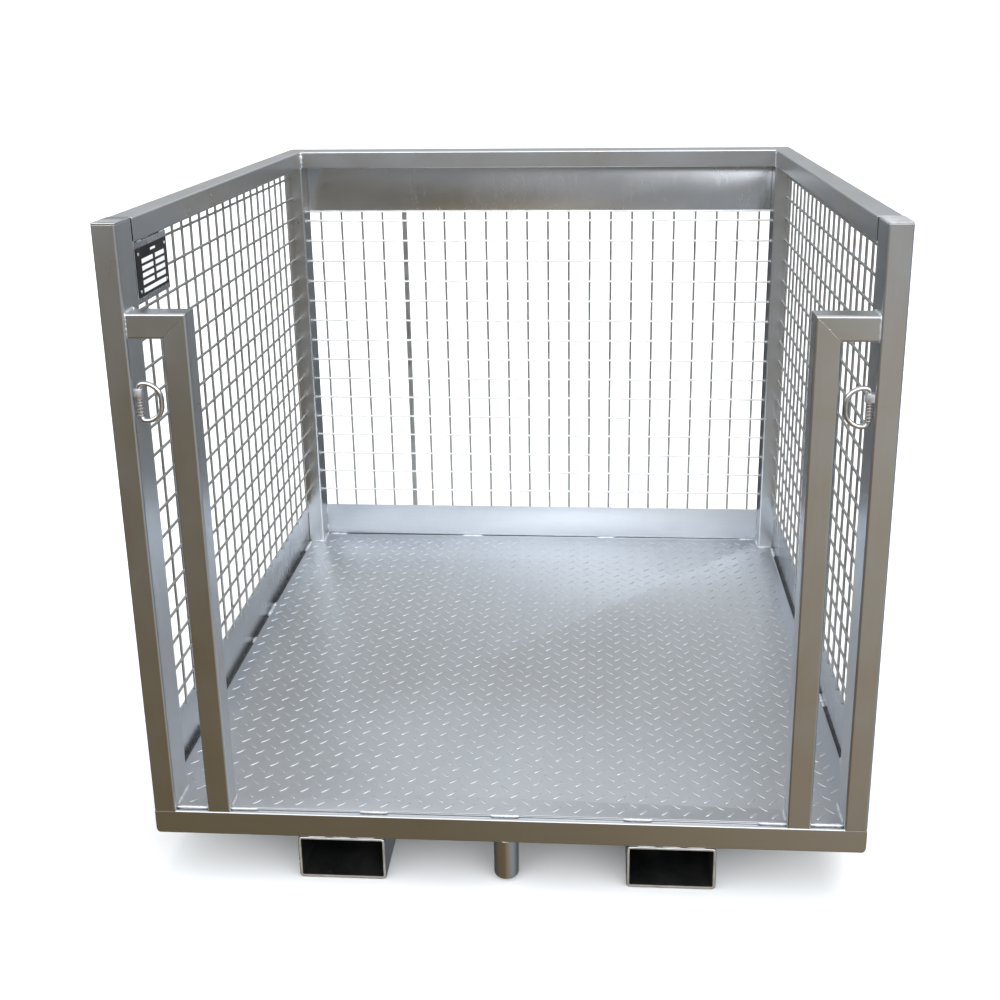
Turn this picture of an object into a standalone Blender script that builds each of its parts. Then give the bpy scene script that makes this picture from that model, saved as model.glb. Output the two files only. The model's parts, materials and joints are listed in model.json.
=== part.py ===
"""Open-front goods cage for a fork truck: welded tube frame, mesh sides, tread floor.

The frame stands on two fork pockets. Origin: centre of the footprint on the ground.
X is across the open front (left is -X), the opening faces -Y, and Z is up. Metres.
"""
import math

import bmesh
import bpy
from mathutils import Matrix, Vector

# Driving dimensions
CAGE_WIDTH = 1.200
CAGE_DEPTH = 1.200
FLOOR_LEVEL = 0.130
WALL_HEIGHT = 1.000
CLEARANCE = 0.0003

# Base frame
POCKET_WIDTH = 0.150
POCKET_HEIGHT = 0.080
POCKET_WALL = 0.005
POCKET_RADIUS = 0.007
POCKET_CENTRE = 0.280
BASE_TUBE = 0.045
BASE_WALL = 0.003
BASE_RADIUS = 0.005
BEARER_PITCH = 0.300

# Upper frame
POST_WIDTH = 0.038
POST_DEPTH = 0.065
RAIL_SIZE = 0.040
TUBE_WALL = 0.0025
TUBE_RADIUS = 0.004
CAP_THICKNESS = 0.003
CORNER_STEPS = 3

# Plates and mesh
PLATE_THICKNESS = 0.003
SIDE_PLATE_INSET = 0.0
REAR_PLATE_INSET = 0.010
KICK_LIFT = 0.003
SIDE_KICK_HEIGHT = 0.100
REAR_KICK_HEIGHT = 0.084
KICK_END_GAP = 0.004
HEAD_PLATE_HEIGHT = 0.107
FLOOR_SLOT = 0.008
FLOOR_FRONT_SETBACK = 0.008
MESH_PITCH = 0.107
MESH_BAR = 0.0064
MESH_INSET = 0.0065

# Front guards beside the opening
GUARD_GAP = 0.054
GUARD_SETBACK = 0.001
GUARD_TOP = 0.993

# Clamp post under the front rail
CLAMP_POST_RADIUS = 0.0212
CLAMP_POST_WALL = 0.0032
CLAMP_POST_LIFT = 0.004
CLAMP_CAP_THICKNESS = 0.004
CLAMP_POST_SETBACK = 0.024

# Spring-loaded lashing rings on the front posts
RING_BAR = 0.004
RING_REACH = 0.0345
RING_HALF_HEIGHT = 0.030
RING_LEG_CORNER = 0.008
RING_NOSE_CORNER = 0.025
RING_LEVEL = 0.851
RING_SETBACK = 0.010
LEG_STAND_OFF = 0.0065
SLEEVE_BORE = 0.0043
SLEEVE_RADIUS = 0.0070
SLEEVE_HEIGHT = 0.013
SPRING_WIRE = 0.0008
SPRING_RADIUS = 0.0052
SPRING_TURNS = 6

# Compliance plate, left side
LABEL_LENGTH = 0.1335
LABEL_HEIGHT = 0.077
LABEL_THICKNESS = 0.001
LABEL_REAR_EDGE = -0.4005
LABEL_BOTTOM = 1.002
BACKING_THICKNESS = 0.002
BACKING_MARGIN = 0.0055
BACKING_BOTTOM = 0.992
BACKING_TOP_GAP = 0.0018
RIVET_RADIUS = 0.0028
RIVET_HEIGHT = 0.0012
RIVET_MARGIN = 0.009

# Levels and faces that follow from the dimensions above
HALF_WIDTH = CAGE_WIDTH / 2
HALF_DEPTH = CAGE_DEPTH / 2
FLOOR_THICKNESS = FLOOR_LEVEL - POCKET_HEIGHT - BASE_TUBE
BASE_TOP = POCKET_HEIGHT + BASE_TUBE
CAGE_TOP = FLOOR_LEVEL + WALL_HEIGHT
RAIL_BOTTOM = CAGE_TOP - RAIL_SIZE
POST_INNER = HALF_WIDTH - POST_WIDTH
REAR_POST_INNER = HALF_WIDTH - RAIL_SIZE
POST_BACK = HALF_DEPTH - POST_DEPTH
GUARD_OUTER = POST_INNER - GUARD_GAP
GUARD_INNER = GUARD_OUTER - RAIL_SIZE
KICK_BOTTOM = BASE_TOP + KICK_LIFT
SIDE_KICK_TOP = KICK_BOTTOM + SIDE_KICK_HEIGHT
REAR_KICK_TOP = KICK_BOTTOM + REAR_KICK_HEIGHT
HEAD_PLATE_BOTTOM = RAIL_BOTTOM - HEAD_PLATE_HEIGHT
RING_AXIS_X = POST_INNER - LEG_STAND_OFF
RING_AXIS_Y = RING_SETBACK - HALF_DEPTH

# Colour, roughness and metallic value of each finish
FINISHES = {
    "tube": ((0.60, 0.61, 0.62), 0.36, 1.0),
    "plate": ((0.64, 0.66, 0.69), 0.38, 1.0),
    "tread": ((0.66, 0.69, 0.73), 0.34, 1.0),
    "wire": ((0.70, 0.69, 0.66), 0.40, 1.0),
    "ring": ((0.74, 0.74, 0.74), 0.22, 1.0),
    "spring": ((0.50, 0.48, 0.47), 0.35, 1.0),
    "label": ((0.025, 0.026, 0.028), 0.45, 0.0),
    "rivet": ((0.78, 0.78, 0.79), 0.28, 1.0),
}

SIDES = (("left", -1), ("right", 1))


def clear_scene():
    for old in list(bpy.data.objects):
        bpy.data.objects.remove(old)


def make_collection(name):
    collection = bpy.data.collections.new(name)
    bpy.context.scene.collection.children.link(collection)
    return collection


def make_material(name, finish):
    colour, roughness, metallic = FINISHES[finish]
    material = bpy.data.materials.new(name)
    material.use_nodes = True
    shader = material.node_tree.nodes["Principled BSDF"]
    shader.inputs["Base Color"].default_value = (*colour, 1.0)
    shader.inputs["Roughness"].default_value = roughness
    shader.inputs["Metallic"].default_value = metallic
    return material


def add_piece(name, data, finish):
    piece = bpy.data.objects.new(name, data)
    data.materials.append(make_material(name, finish))
    PARTS.objects.link(piece)
    return piece


def turn_to(piece, across, along):
    """Aim the piece's X axis across and its Z axis along."""
    x_axis = Vector(across).normalized()
    z_axis = Vector(along).normalized()
    y_axis = z_axis.cross(x_axis)
    piece.rotation_euler = Matrix((x_axis, y_axis, z_axis)).transposed().to_euler()


# Outlines

def rectangle(x_low, x_high, y_low, y_high):
    return [(x_low, y_low), (x_high, y_low), (x_high, y_high), (x_low, y_high)]


def arc(centre, radius, start, end, steps):
    angles = [start + (end - start) * i / steps for i in range(steps + 1)]
    return [(centre[0] + radius * math.cos(a), centre[1] + radius * math.sin(a)) for a in angles]


def rounded_rectangle(width, depth, radius):
    points = []
    for quarter, (sx, sy) in enumerate(((1, 1), (-1, 1), (-1, -1), (1, -1))):
        centre = (sx * (width / 2 - radius), sy * (depth / 2 - radius))
        start = quarter * math.pi / 2
        points += arc(centre, radius, start, start + math.pi / 2, CORNER_STEPS)
    return points


def circle(radius, steps):
    return arc((0, 0), radius, 0, 2 * math.pi, steps)[:-1]


def outline_curve(name, loops, thickness):
    """A flat closed outline with holes, filled and thickened evenly about its plane."""
    curve = bpy.data.curves.new(name, "CURVE")
    curve.dimensions = "2D"
    curve.fill_mode = "BOTH"
    curve.extrude = thickness / 2
    for loop in loops:
        spline = curve.splines.new("POLY")
        spline.points.add(len(loop) - 1)
        for point, (x, y) in zip(spline.points, loop):
            point.co = (x, y, 0, 1)
        spline.use_cyclic_u = True
    return curve


def outline_mesh(name, loops, thickness):
    """The same outline as a mesh, with its caps welded to its sides."""
    holder = bpy.data.objects.new(name, outline_curve(name, loops, thickness))
    bpy.context.scene.collection.objects.link(holder)
    depsgraph = bpy.context.evaluated_depsgraph_get()
    mesh = bpy.data.meshes.new_from_object(holder.evaluated_get(depsgraph))
    bpy.data.objects.remove(holder)
    weld_mesh(mesh)
    return mesh


def weld_mesh(mesh):
    shape = bmesh.new()
    shape.from_mesh(mesh)
    bmesh.ops.remove_doubles(shape, verts=shape.verts, dist=0.00001)
    shape.to_mesh(mesh)
    shape.free()


# Tubes

def make_tube(name, section, wall, radius, length, low_slope=0.0, high_slope=0.0):
    """A hollow rectangular tube along Z from 0 to length.

    A slope is how far the cut end moves along Z for each metre across the tube in X, so that
    1 or -1 is a mitre; the tube keeps its full length on the long side of the mitre.
    """
    width, depth = section
    outer = rounded_rectangle(width, depth, radius)
    inner = rounded_rectangle(width - 2 * wall, depth - 2 * wall, max(radius - wall, 0.001))
    mesh = outline_mesh(name, [outer, inner], length)
    for vertex in mesh.vertices:
        x, z = vertex.co.x, vertex.co.z
        if z < 0:
            vertex.co.z = low_slope * x + abs(low_slope) * width / 2
        else:
            vertex.co.z = length + high_slope * x - abs(high_slope) * width / 2
    return add_piece(name, mesh, "tube")


def lay_tube(name, section, start, along, across, length, wall, radius, **mitres):
    tube = make_tube(name, section, wall, radius, length, **mitres)
    tube.location = start
    turn_to(tube, across, along)


def frame_tube(name, section, start, along, across, length, **mitres):
    lay_tube(name, section, start, along, across, length, TUBE_WALL, TUBE_RADIUS, **mitres)


def make_plate(name, loops, thickness, centre, across, along, finish="plate"):
    plate = add_piece(name, outline_curve(name, loops, thickness), finish)
    plate.location = centre
    turn_to(plate, across, along)


# Base frame

def build_base_frame():
    """Four mitred rails in a ring, and three bearers under the floor."""
    tall = BASE_TUBE - CLEARANCE
    level = POCKET_HEIGHT + CLEARANCE + tall / 2
    section = (BASE_TUBE, tall)
    reach = HALF_DEPTH - BASE_TUBE / 2
    style = {"wall": BASE_WALL, "radius": BASE_RADIUS}
    for name, sign in (("base_front_rail", -1), ("base_rear_rail", 1)):
        start = (sign * HALF_WIDTH, sign * reach, level)
        lay_tube(name, section, start, (-sign, 0, 0), (0, -sign, 0), CAGE_WIDTH,
                 low_slope=1, high_slope=-1, **style)
    side_length = CAGE_DEPTH - 4 * CLEARANCE
    for side, sign in SIDES:
        start = (sign * reach, -sign * side_length / 2, level)
        lay_tube(f"base_{side}_rail", section, start, (0, sign, 0), (-sign, 0, 0), side_length,
                 low_slope=1, high_slope=-1, **style)
    bearer_length = CAGE_WIDTH - 2 * BASE_TUBE - 2 * CLEARANCE
    for name, step in (("front", -1), ("middle", 0), ("rear", 1)):
        start = (-bearer_length / 2, step * BEARER_PITCH, level)
        lay_tube(f"floor_bearer_{name}", section, start, (1, 0, 0), (0, 1, 0), bearer_length,
                 **style)


def build_fork_pockets():
    for side, sign in SIDES:
        start = (sign * POCKET_CENTRE, -HALF_DEPTH, POCKET_HEIGHT / 2)
        lay_tube(f"fork_pocket_{side}", (POCKET_WIDTH, POCKET_HEIGHT), start, (0, 1, 0), (1, 0, 0),
                 CAGE_DEPTH, POCKET_WALL, POCKET_RADIUS)


def build_floor():
    """The floor plate, notched round the posts and the guard uprights."""
    slot_x = HALF_WIDTH - SIDE_PLATE_INSET - PLATE_THICKNESS - FLOOR_SLOT
    slot_y = HALF_DEPTH - REAR_PLATE_INSET - PLATE_THICKNESS - FLOOR_SLOT
    front = FLOOR_FRONT_SETBACK - HALF_DEPTH
    post_x = POST_INNER - CLEARANCE
    rear_post_x = REAR_POST_INNER - CLEARANCE
    post_y = POST_BACK - CLEARANCE
    guard_y = GUARD_SETBACK + RAIL_SIZE - HALF_DEPTH + CLEARANCE
    right = [
        (GUARD_INNER - CLEARANCE, front), (GUARD_INNER - CLEARANCE, guard_y),
        (GUARD_OUTER + CLEARANCE, guard_y), (GUARD_OUTER + CLEARANCE, front),
        (post_x, front), (post_x, -post_y), (slot_x, -post_y),
        (slot_x, post_y), (rear_post_x, post_y), (rear_post_x, slot_y),
    ]
    left = [(-x, y) for x, y in reversed(right)]
    thickness = FLOOR_THICKNESS - CLEARANCE
    centre = (0, 0, FLOOR_LEVEL - thickness / 2)
    make_plate("floor_plate", [right + left], thickness, centre, (1, 0, 0), (0, 0, 1), "tread")


def build_clamp_post():
    """Round post under the middle of the front rail, closed by a disc at its foot."""
    y = CLAMP_POST_SETBACK - HALF_DEPTH
    low = CLAMP_POST_LIFT + CLAMP_CAP_THICKNESS + CLEARANCE
    length = POCKET_HEIGHT - low
    rings = [circle(CLAMP_POST_RADIUS, 32), circle(CLAMP_POST_RADIUS - CLAMP_POST_WALL, 32)]
    make_plate("clamp_post", rings, length, (0, y, low + length / 2), (1, 0, 0), (0, 0, 1), "tube")
    middle = CLAMP_POST_LIFT + CLAMP_CAP_THICKNESS / 2
    make_plate("clamp_post_cap", [circle(CLAMP_POST_RADIUS, 32)], CLAMP_CAP_THICKNESS,
               (0, y, middle), (1, 0, 0), (0, 0, 1), "tube")


# Upper frame

def build_posts():
    """Two capped posts in front; the two at the back stop under the top rails."""
    foot = BASE_TOP + CLEARANCE
    front_top = CAGE_TOP - CAP_THICKNESS - CLEARANCE
    rear_top = RAIL_BOTTOM - CLEARANCE
    y = HALF_DEPTH - POST_DEPTH / 2
    for side, sign in SIDES:
        x = sign * (HALF_WIDTH - POST_WIDTH / 2)
        rear_x = sign * (HALF_WIDTH - RAIL_SIZE / 2)
        frame_tube(f"front_{side}_post", (POST_WIDTH, POST_DEPTH), (x, -y, foot),
                   (0, 0, 1), (1, 0, 0), front_top - foot)
        frame_tube(f"rear_{side}_post", (RAIL_SIZE, POST_DEPTH), (rear_x, y, foot),
                   (0, 0, 1), (1, 0, 0), rear_top - foot)
        cap = rounded_rectangle(POST_WIDTH, POST_DEPTH, TUBE_RADIUS)
        make_plate(f"front_{side}_post_cap", [cap], CAP_THICKNESS,
                   (x, -y, CAGE_TOP - CAP_THICKNESS / 2), (1, 0, 0), (0, 0, 1))


def build_top_rails():
    """Side rails run from the front posts to the back; the rear rail fits between them."""
    level = CAGE_TOP - RAIL_SIZE / 2
    start_y = CLEARANCE - POST_BACK
    end_y = HALF_DEPTH - CAP_THICKNESS - CLEARANCE
    for side, sign in SIDES:
        x = sign * (HALF_WIDTH - RAIL_SIZE / 2)
        frame_tube(f"{side}_top_rail", (RAIL_SIZE, RAIL_SIZE), (x, start_y, level),
                   (0, 1, 0), (1, 0, 0), end_y - start_y)
        cap = rounded_rectangle(RAIL_SIZE, RAIL_SIZE, TUBE_RADIUS)
        make_plate(f"{side}_top_rail_cap", [cap], CAP_THICKNESS,
                   (x, HALF_DEPTH - CAP_THICKNESS / 2, level), (1, 0, 0), (0, 1, 0))
    length = 2 * (HALF_WIDTH - RAIL_SIZE - CLEARANCE)
    frame_tube("rear_top_rail", (POST_DEPTH, RAIL_SIZE),
               (-length / 2, HALF_DEPTH - POST_DEPTH / 2, level), (1, 0, 0), (0, 1, 0), length)


def build_guards():
    """An inverted L beside each edge of the opening, mitred at its top corner."""
    y = GUARD_SETBACK + RAIL_SIZE / 2 - HALF_DEPTH
    foot = BASE_TOP + CLEARANCE
    section = (RAIL_SIZE, RAIL_SIZE)
    for side, sign in SIDES:
        upright_x = sign * (GUARD_INNER + RAIL_SIZE / 2)
        frame_tube(f"{side}_guard_upright", section, (upright_x, y, foot), (0, 0, 1), (sign, 0, 0),
                   GUARD_TOP - CLEARANCE - foot, high_slope=-1)
        rail_start = (sign * (POST_INNER - CLEARANCE), y, GUARD_TOP - RAIL_SIZE / 2)
        rail_length = POST_INNER - CLEARANCE - GUARD_INNER
        frame_tube(f"{side}_guard_rail", section, rail_start, (-sign, 0, 0), (0, 0, 1),
                   rail_length, high_slope=1)


# Plates and mesh

def upright_plate(name, length, low, high, thickness, centre_xy, across, finish="plate"):
    """A plate standing on edge: length runs along the across direction."""
    half = (high - low) / 2
    loop = rectangle(-length / 2, length / 2, -half, half)
    along = Vector(across).cross(Vector((0, 0, 1)))
    make_plate(name, [loop], thickness, (*centre_xy, low + half), across, along, finish)


def build_kick_plates():
    side_x = HALF_WIDTH - SIDE_PLATE_INSET - PLATE_THICKNESS / 2
    rear_y = HALF_DEPTH - REAR_PLATE_INSET - PLATE_THICKNESS / 2
    side_length = 2 * (POST_BACK - KICK_END_GAP)
    for side, sign in SIDES:
        upright_plate(f"{side}_kick_plate", side_length, KICK_BOTTOM, SIDE_KICK_TOP,
                      PLATE_THICKNESS, (sign * side_x, 0), (0, 1, 0))
    rear_length = 2 * (REAR_POST_INNER - CLEARANCE)
    upright_plate("rear_kick_plate", rear_length, KICK_BOTTOM, REAR_KICK_TOP, PLATE_THICKNESS,
                  (0, rear_y), (1, 0, 0))
    upright_plate("rear_head_plate", rear_length, HEAD_PLATE_BOTTOM, RAIL_BOTTOM - CLEARANCE,
                  PLATE_THICKNESS, (0, rear_y), (1, 0, 0))


def mesh_panel(name, length, low, high, centre_xy, across):
    """Square bars in a lattice, standing upright, as one solid."""
    height = high - low
    columns = round(length / MESH_PITCH)
    rows = round(height / MESH_PITCH)
    column_pitch = (length - MESH_BAR) / columns
    row_pitch = (height - MESH_BAR) / rows
    loops = [rectangle(-length / 2, length / 2, -height / 2, height / 2)]
    for i in range(columns):
        x = -length / 2 + MESH_BAR + i * column_pitch
        for j in range(rows):
            y = -height / 2 + MESH_BAR + j * row_pitch
            loops.append(rectangle(x, x + column_pitch - MESH_BAR, y, y + row_pitch - MESH_BAR))
    along = Vector(across).cross(Vector((0, 0, 1)))
    make_plate(name, loops, MESH_BAR, (*centre_xy, low + height / 2), across, along, "wire")


def build_mesh():
    side_length = 2 * (POST_BACK - CLEARANCE)
    for side, sign in SIDES:
        mesh_panel(f"{side}_mesh", side_length, SIDE_KICK_TOP + CLEARANCE, RAIL_BOTTOM - CLEARANCE,
                   (sign * (HALF_WIDTH - MESH_INSET), 0), (0, 1, 0))
    mesh_panel("rear_mesh", 2 * (REAR_POST_INNER - CLEARANCE), REAR_KICK_TOP + CLEARANCE,
               HEAD_PLATE_BOTTOM - CLEARANCE, (0, HALF_DEPTH - MESH_INSET), (1, 0, 0))


# Lashing rings

def ring_path():
    """Centreline of the ring: straight leg on the axis, rounded nose towards +X."""
    top, nose = RING_HALF_HEIGHT, RING_REACH
    leg, round_nose = RING_LEG_CORNER, RING_NOSE_CORNER
    quarter = math.pi / 2
    points = arc((nose - round_nose, round_nose - top), round_nose, -quarter, 0, 5)
    points += arc((nose - round_nose, top - round_nose), round_nose, 0, quarter, 5)
    points += arc((leg, top - leg), leg, quarter, 2 * quarter, 4)
    points += arc((leg, leg - top), leg, 2 * quarter, 3 * quarter, 4)
    return points


def round_bar(name, points, radius, sides_resolution, closed, finish):
    curve = bpy.data.curves.new(name, "CURVE")
    curve.dimensions = "3D"
    curve.bevel_depth = radius
    curve.bevel_resolution = sides_resolution
    curve.use_fill_caps = not closed
    spline = curve.splines.new("POLY")
    spline.points.add(len(points) - 1)
    for point, place in zip(spline.points, points):
        point.co = (*place, 1)
    spline.use_cyclic_u = closed
    spline.use_smooth = True
    return add_piece(name, curve, finish)


def sleeve_outline():
    """Half-round nose about the leg's axis, squared off at the post's face."""
    flat = -(LEG_STAND_OFF - CLEARANCE)
    nose = arc((0, 0), SLEEVE_RADIUS, -math.pi / 2, math.pi / 2, 8)
    return nose + [(flat, SLEEVE_RADIUS), (flat, -SLEEVE_RADIUS)]


def build_lashing_rings():
    """Each ring turns about its own upright leg, inside a sleeve welded to the post."""
    sleeve_low = RING_LEVEL + RING_HALF_HEIGHT - RING_LEG_CORNER - SLEEVE_HEIGHT
    spring_low = RING_LEVEL - RING_HALF_HEIGHT + RING_LEG_CORNER + CLEARANCE + SPRING_WIRE
    spring_high = sleeve_low - CLEARANCE - SPRING_WIRE
    steps = SPRING_TURNS * 12
    coil = []
    for i in range(steps + 1):
        angle = 2 * math.pi * SPRING_TURNS * i / steps
        height = (spring_high - spring_low) * i / steps
        coil.append((SPRING_RADIUS * math.cos(angle), SPRING_RADIUS * math.sin(angle), height))
    for side, sign in SIDES:
        x, y = sign * RING_AXIS_X, RING_AXIS_Y
        bore = circle(SLEEVE_BORE, 20)
        make_plate(f"{side}_ring_sleeve", [sleeve_outline(), bore], SLEEVE_HEIGHT,
                   (x, y, sleeve_low + SLEEVE_HEIGHT / 2), (-sign, 0, 0), (0, 0, 1), "ring")
        loop = [(u, 0, v) for u, v in ring_path()]
        ring = round_bar(f"{side}_lashing_ring", loop, RING_BAR, 2, True, "ring")
        ring.location = (x, y, RING_LEVEL)
        turn_to(ring, (-sign, 0, 0), (0, 0, 1))
        spring = round_bar(f"{side}_ring_spring", coil, SPRING_WIRE, 1, False, "spring")
        spring.location = (x, y, spring_low)


# Compliance plate

def build_label():
    """A blank riveted plate on a backing plate, under the left rail behind the front post."""
    backing_front = CLEARANCE - POST_BACK
    backing_rear = LABEL_REAR_EDGE + BACKING_MARGIN
    backing_x = -(POST_INNER + BACKING_THICKNESS / 2)
    upright_plate("label_backing", backing_rear - backing_front, BACKING_BOTTOM,
                  RAIL_BOTTOM - BACKING_TOP_GAP, BACKING_THICKNESS,
                  (backing_x, (backing_front + backing_rear) / 2), (0, 1, 0))
    label_x = backing_x + BACKING_THICKNESS / 2 + CLEARANCE + LABEL_THICKNESS / 2
    label_y = LABEL_REAR_EDGE - LABEL_LENGTH / 2
    upright_plate("label_plate", LABEL_LENGTH, LABEL_BOTTOM, LABEL_BOTTOM + LABEL_HEIGHT,
                  LABEL_THICKNESS, (label_x, label_y), (0, 1, 0), "label")
    rivet_x = label_x + LABEL_THICKNESS / 2 + CLEARANCE + RIVET_HEIGHT / 2
    middle_z = LABEL_BOTTOM + LABEL_HEIGHT / 2
    corners = ((-1, 1), (1, 1), (-1, -1), (1, -1))
    for number, (along_y, along_z) in enumerate(corners, start=1):
        y = label_y + along_y * (LABEL_LENGTH / 2 - RIVET_MARGIN)
        z = middle_z + along_z * (LABEL_HEIGHT / 2 - RIVET_MARGIN)
        make_plate(f"label_rivet_{number}", [circle(RIVET_RADIUS, 12)], RIVET_HEIGHT,
                   (rivet_x, y, z), (0, 1, 0), (1, 0, 0), "rivet")


def smooth_round_pieces():
    for piece in PARTS.objects:
        if piece.type == "MESH":
            piece.data.shade_smooth()
            piece.data.set_sharp_from_angle(angle=math.radians(35))


clear_scene()
PARTS = make_collection("goods_cage")
build_base_frame()
build_fork_pockets()
build_floor()
build_clamp_post()
build_posts()
build_top_rails()
build_guards()
build_kick_plates()
build_mesh()
build_lashing_rings()
build_label()
smooth_round_pieces()
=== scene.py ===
import json
import math
import random

import bmesh
import bpy
from mathutils import Matrix, Vector


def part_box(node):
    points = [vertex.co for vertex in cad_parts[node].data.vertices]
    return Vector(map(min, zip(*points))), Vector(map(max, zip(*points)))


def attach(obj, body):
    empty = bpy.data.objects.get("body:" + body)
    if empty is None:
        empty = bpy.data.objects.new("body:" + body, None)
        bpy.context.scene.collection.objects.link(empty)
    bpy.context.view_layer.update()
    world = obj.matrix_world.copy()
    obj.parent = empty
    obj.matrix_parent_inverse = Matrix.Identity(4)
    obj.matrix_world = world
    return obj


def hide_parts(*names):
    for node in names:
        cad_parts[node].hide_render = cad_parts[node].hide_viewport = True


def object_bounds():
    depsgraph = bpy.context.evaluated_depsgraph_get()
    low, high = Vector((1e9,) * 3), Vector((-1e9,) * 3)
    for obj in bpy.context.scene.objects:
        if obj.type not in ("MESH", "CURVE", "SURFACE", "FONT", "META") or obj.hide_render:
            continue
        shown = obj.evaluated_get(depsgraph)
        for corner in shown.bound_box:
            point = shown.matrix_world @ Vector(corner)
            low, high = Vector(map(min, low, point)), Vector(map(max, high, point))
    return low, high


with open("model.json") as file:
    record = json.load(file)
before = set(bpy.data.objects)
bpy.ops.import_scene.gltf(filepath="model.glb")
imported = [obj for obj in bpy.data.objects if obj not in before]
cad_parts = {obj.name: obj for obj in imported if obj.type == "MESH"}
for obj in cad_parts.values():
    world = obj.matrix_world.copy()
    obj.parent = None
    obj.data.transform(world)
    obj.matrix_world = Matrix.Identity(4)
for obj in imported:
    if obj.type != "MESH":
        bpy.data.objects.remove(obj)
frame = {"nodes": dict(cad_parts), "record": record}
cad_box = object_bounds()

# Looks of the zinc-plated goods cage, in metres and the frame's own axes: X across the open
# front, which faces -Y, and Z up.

RECORD = frame["record"]
BODY_OF = {n: body for body, members in RECORD["behaviour"]["bodies"].items() for n in members}
COLOUR_OF = {m["slot"]: tuple(m["base_color"]) for m in RECORD["materials"]}
SIDES = (("left", -1), ("right", 1))
BEARERS = ("floor_bearer_front", "floor_bearer_middle", "floor_bearer_rear")
X, Y, Z = 0, 1, 2

# Tube walls and corner radii
THIN_WALL, THIN_RADIUS = 0.0025, 0.004
BASE_WALL, BASE_RADIUS = 0.003, 0.0034
POCKET_WALL, POCKET_RADIUS = 0.005, 0.007
CORNER_STEPS = 6
END_CHAMFER, POCKET_CHAMFER = 0.0006, 0.0013
GROUND_CORNER = 0.010


# -------- camera and light

def show(name, data):
    """A new object, linked into the scene."""
    made = bpy.data.objects.new(name, data)
    bpy.context.scene.collection.objects.link(made)
    return made


def make_camera():
    data = bpy.data.cameras.new("camera")
    data.sensor_width = 36.0
    data.lens = 43.43
    data.shift_x = -0.0257
    data.shift_y = -0.1156
    camera = show("camera", data)
    camera.location = (0.1549, -2.3355, 1.3888)
    camera.rotation_euler = [math.radians(angle) for angle in (73.887, 0.611, 3.490)]
    bpy.context.scene.camera = camera


def make_lights():
    """One broad soft sun from above and behind the right shoulder of the cage."""
    data = bpy.data.lights.new("soft_sun", "SUN")
    data.energy = 1.5
    data.angle = math.radians(45)
    data.color = (1.0, 0.985, 0.96)
    sun = show("soft_sun", data)
    sun.rotation_euler = Vector((-0.25, -0.35, -1.0)).to_track_quat("-Z", "Y").to_euler()
    sun.visible_glossy = False


# -------- shader helpers

def add_node(tree, kind, inputs=(), **settings):
    """A shader node with its settings; inputs are (socket, value or output) pairs."""
    made = tree.nodes.new(kind)
    for key, value in settings.items():
        setattr(made, key, value)
    for socket, value in inputs:
        if isinstance(value, bpy.types.NodeSocket):
            tree.links.new(value, made.inputs[socket])
        else:
            made.inputs[socket].default_value = value
    return made


def spread(tree, value, low, high, new_low=0.0, new_high=1.0):
    made = add_node(tree, "ShaderNodeMapRange", [
        ("Value", value), ("From Min", low), ("From Max", high),
        ("To Min", new_low), ("To Max", new_high)])
    return made.outputs["Result"]


def maths(tree, operation, *values):
    return add_node(tree, "ShaderNodeMath", enumerate(values), operation=operation).outputs[0]


def blend(tree, factor, first, second):
    """A mix of two colours; each is an output or a plain triple."""
    colours = [c if isinstance(c, bpy.types.NodeSocket) else (*c, 1.0) for c in (first, second)]
    inputs = [(0, factor), (6, colours[0]), (7, colours[1])]
    return add_node(tree, "ShaderNodeMix", inputs, data_type="RGBA").outputs[2]


def tint(colour, factor, shift=(1, 1, 1)):
    return tuple(min(1.0, c * factor * s) for c, s in zip(colour, shift))


class Surface:
    """A material in the making; its patterns are noises in the object's own space."""

    def __init__(self, name, metallic):
        self.material = bpy.data.materials.new(name)
        self.material.use_nodes = True
        self.tree = self.material.node_tree
        self.shader = self.tree.nodes["Principled BSDF"]
        self.shader.inputs["Metallic"].default_value = metallic
        self.place = add_node(self.tree, "ShaderNodeTexCoord").outputs["Object"]
        self.base = None

    def noise(self, scale, detail, roughness=0.5, distortion=0.0, turn=(0, 0, 0)):
        """One scale for an even noise, or three to stretch it."""
        stretched = isinstance(scale, (list, tuple))
        mapping = add_node(self.tree, "ShaderNodeMapping", [
            ("Vector", self.place), ("Rotation", turn), ("Scale", scale if stretched else (1, 1, 1))])
        made = add_node(self.tree, "ShaderNodeTexNoise", [
            ("Vector", mapping.outputs["Vector"]), ("Scale", 1.0 if stretched else scale),
            ("Detail", detail), ("Roughness", roughness), ("Distortion", distortion)])
        return made.outputs["Fac"]

    def spread(self, *values):
        return spread(self.tree, *values)

    def rough(self, mask, low, high):
        """Roughness over the range that a noise fills."""
        return self.spread(mask, 0.3, 0.7, low, high)

    def ground(self, mask, low, high, first, second):
        """The base colour: first where the mask is low, second where it is high."""
        self.base = blend(self.tree, self.spread(mask, low, high), first, second)

    def layer(self, mask, low, high, strength, colour):
        """A colour laid over the base where the mask is high."""
        self.base = blend(self.tree, self.spread(mask, low, high, 0.0, strength), self.base, colour)

    def finish(self, rough, height, strength, distance):
        relief = add_node(self.tree, "ShaderNodeBump", [
            ("Height", height), ("Strength", strength), ("Distance", distance)])
        self.tree.links.new(relief.outputs["Normal"], self.shader.inputs["Normal"])
        return self.plain(rough)

    def plain(self, rough):
        """The material with no relief."""
        self.tree.links.new(self.base, self.shader.inputs["Base Color"])
        self.tree.links.new(rough, self.shader.inputs["Roughness"])
        return self.material


# -------- materials

COOL, WARM = (0.97, 1.0, 1.04), (1.03, 1.0, 0.95)
DUST, DUST_TOP, DUST_FULL = (0.42, 0.38, 0.32), 0.26, 0.10


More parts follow.
